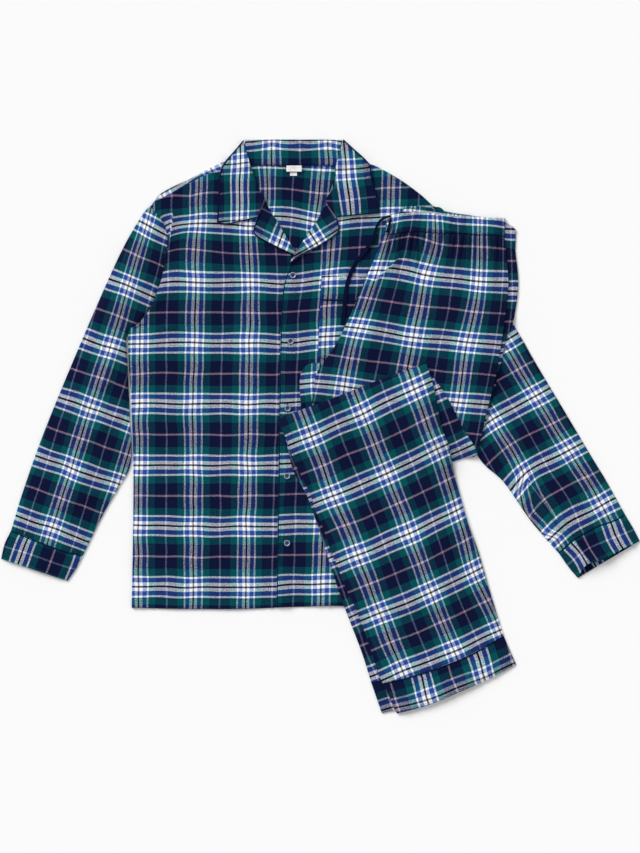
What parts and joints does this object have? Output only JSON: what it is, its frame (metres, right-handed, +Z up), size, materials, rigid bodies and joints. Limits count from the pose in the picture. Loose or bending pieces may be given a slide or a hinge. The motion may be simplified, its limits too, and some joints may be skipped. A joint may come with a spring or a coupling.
{
  "type": "pyjama set",
  "caption": "Checked flannel pyjama set laid flat: a long-sleeved shirt with piped notched collar and chest pocket, and drawstring trousers folded across it.",
  "frame": {"origin": "middle of the outline seen from above, on the surface that the set lies on", "axes": "+X across the chest towards the wearer's left, +Y from hem to collar, +Z up out of the chest"},
  "size_m": [1.0838, 0.9754, 0.0308],
  "materials": {
    "flannel": "matte",
    "piping": "satin",
    "tie": "matte",
    "label": "satin",
    "button": "gloss"
  },
  "bodies": {
    "root": {"shirt_back": "flannel", "shirt_front_right": "flannel", "shirt_front_left": "flannel", "shirt_sleeve_right": "flannel", "shirt_sleeve_left": "flannel", "shirt_cuff_right": "flannel", "shirt_cuff_left": "flannel", "shirt_collar_back": "flannel", "shirt_collar_fall_right": "flannel", "shirt_collar_fall_left": "flannel", "shirt_lapel_right": "flannel", "shirt_lapel_left": "flannel", "shirt_pocket": "flannel", "shirt_neck_label": "label", "shirt_size_tab": "label", "shirt_button_top": "button", "shirt_button_second": "button", "shirt_button_third": "button", "shirt_button_fourth": "button", "shirt_button_fifth": "button", "shirt_piping_front": "piping", "shirt_piping_cuff_right": "piping", "shirt_piping_cuff_left": "piping", "shirt_piping_lapel_right": "piping", "shirt_piping_lapel_left": "piping", "shirt_piping_fall_right_side": "piping", "shirt_piping_fall_right_end": "piping", "shirt_piping_fall_left_side": "piping", "shirt_piping_fall_left_end": "piping", "shirt_piping_pocket": "piping", "trouser_under_thigh": "flannel", "trouser_under_waistband": "flannel", "trouser_top_thigh": "flannel", "trouser_top_waistband": "flannel", "trouser_fold": "flannel", "trouser_under_shin": "flannel", "trouser_under_hem": "flannel", "trouser_piping_under_hem": "piping", "trouser_top_shin": "flannel", "trouser_top_hem": "flannel", "trouser_piping_top_hem": "piping", "trouser_tie_near": "tie", "trouser_tie_far": "tie"}
  },
  "joints": []
}
